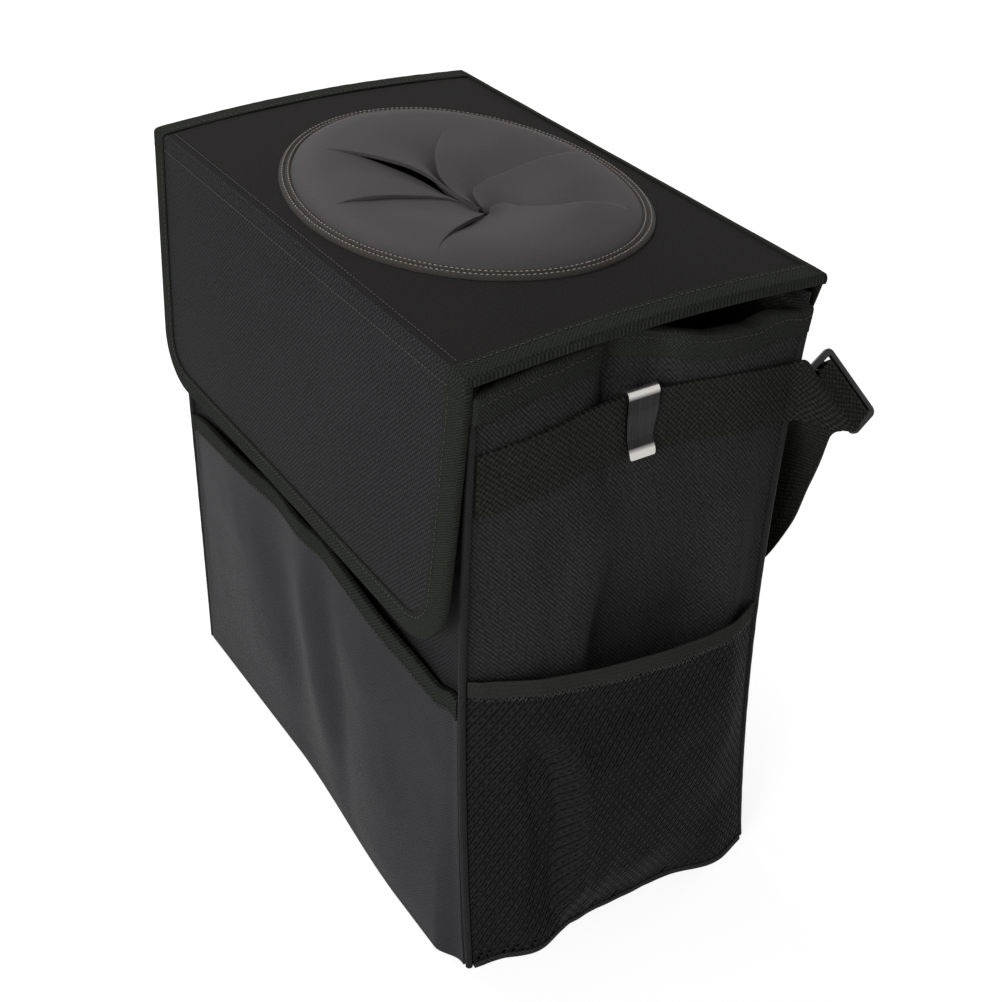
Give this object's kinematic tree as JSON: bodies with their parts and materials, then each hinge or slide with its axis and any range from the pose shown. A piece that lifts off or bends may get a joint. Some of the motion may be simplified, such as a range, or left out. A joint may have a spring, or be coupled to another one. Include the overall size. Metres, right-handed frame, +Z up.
{
  "type": "car trash bin",
  "caption": "Soft box-shaped car trash bin with a hinged lid, slit rubber opening, front flap, front and mesh side pockets, hanging strap and bag clips.",
  "frame": {"origin": "middle of the base's underside, on the floor", "axes": "+X to the right side seen from the front (the side with the strap slider), -Y to the front with the flap and pocket, +Y to the back with the hinge and the hanging strap, +Z up"},
  "size_m": [0.3091, 0.2073, 0.3194],
  "materials": {
    "oxford_fabric": "coated twill, slightly shiny",
    "pocket_fabric": "smooth coated weave with a soft sheen",
    "lid_fabric": "fine matt weave",
    "binding_tape": "ribbed tape, matt",
    "piping": "tight cord cover, satin",
    "mesh": "open knitted mesh, matt",
    "elastic": "ribbed elastic, matt",
    "webbing": "ribbed webbing, satin",
    "hook_and_loop": "napped, matt",
    "ring_tape": "stitched double ridge, satin",
    "lining": "plain weave, matt",
    "liner": "smooth film, satin",
    "board": "plain",
    "rubber_sheet": "foam rubber with a fine leather grain, matt",
    "slider_plastic": "moulded, glossy",
    "clip_steel": "blackened spring steel, bright at its bends"
  },
  "bodies": {
    "bin": {"base_panel": "oxford_fabric", "front_panel": "oxford_fabric", "back_panel": "oxford_fabric", "side_panel_right": "oxford_fabric", "side_panel_left": "oxford_fabric", "base_board": "board", "front_board": "board", "back_board": "board", "liner": "liner", "rim_binding": "binding_tape", "corner_piping_front_right": "piping", "corner_piping_front_left": "piping", "corner_piping_back_right": "piping", "corner_piping_back_left": "piping", "front_pocket": "pocket_fabric", "front_pocket_binding": "binding_tape", "mesh_pocket_right": "mesh", "mesh_pocket_left": "mesh", "mesh_elastic_right": "elastic", "mesh_elastic_left": "elastic", "loop_tape": "hook_and_loop", "hinge_tape": "oxford_fabric", "side_webbing_right": "webbing", "hanging_strap": "webbing", "strap_slider": "slider_plastic"},
    "lid": {"lid_panel": "lid_fabric", "lid_board": "board", "lid_lining": "lining", "lid_binding_right": "binding_tape", "lid_binding_left": "binding_tape", "opening_ring": "ring_tape", "slit_insert": "rubber_sheet"},
    "flap": {"flap_panel": "lid_fabric", "flap_board": "board", "flap_lining": "lining", "flap_binding": "binding_tape", "hook_tape": "hook_and_loop"},
    "bag_clip_right": {"bag_clip_right": "clip_steel"},
    "bag_clip_left": {"bag_clip_left": "clip_steel"}
  },
  "joints": [
    {"name": "lid_hinge", "type": "hinge", "parent": "bin", "child": "lid", "pos_m": [0, 0.085, 0.3083], "axis": [-1, 0, 0], "range_deg": [0, 180]},
    {"name": "flap_hinge", "type": "hinge", "parent": "lid", "child": "flap", "pos_m": [0, -0.0833, 0.3083], "axis": [-1, 0, 0], "range_deg": [0, 150]},
    {"name": "clip_slide_right", "type": "slide", "parent": "bin", "child": "bag_clip_right", "axis": [0, 0, 1], "range_m": [0, 0.02]},
    {"name": "clip_slide_left", "type": "slide", "parent": "bin", "child": "bag_clip_left", "axis": [0, 0, 1], "range_m": [0, 0.02]}
  ]
}
